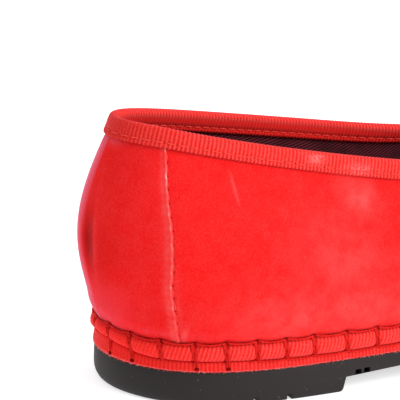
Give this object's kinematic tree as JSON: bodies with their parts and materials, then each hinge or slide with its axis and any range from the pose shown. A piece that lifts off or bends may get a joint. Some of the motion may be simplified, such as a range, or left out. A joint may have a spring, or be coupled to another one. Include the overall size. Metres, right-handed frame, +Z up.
{
  "type": "slip-on slipper",
  "caption": "Right slip-on slipper: hollow velvet upper with a taped collar, stitched grosgrain band, wrapped midsole and black rubber outsole with a heel.",
  "frame": {"origin": "middle of the shoe's outer box, on the floor", "axes": "+X from heel to toe, +Y towards the inner side of this right shoe, +Z up"},
  "size_m": [0.273, 0.0976, 0.0839],
  "materials": {
    "black_rubber": "smooth matt rubber, straw-coloured flecks in its tread grooves",
    "red_grosgrain": "ribbed grosgrain tape",
    "maroon_lining": "dark twill lining",
    "red_velvet": "short-pile velvet with a pale sheen"
  },
  "bodies": {
    "root": {"outsole": "black_rubber", "midsole": "red_grosgrain", "welt_band": "red_grosgrain", "insole": "maroon_lining", "upper": "red_velvet", "collar_binding": "red_grosgrain"}
  },
  "joints": []
}
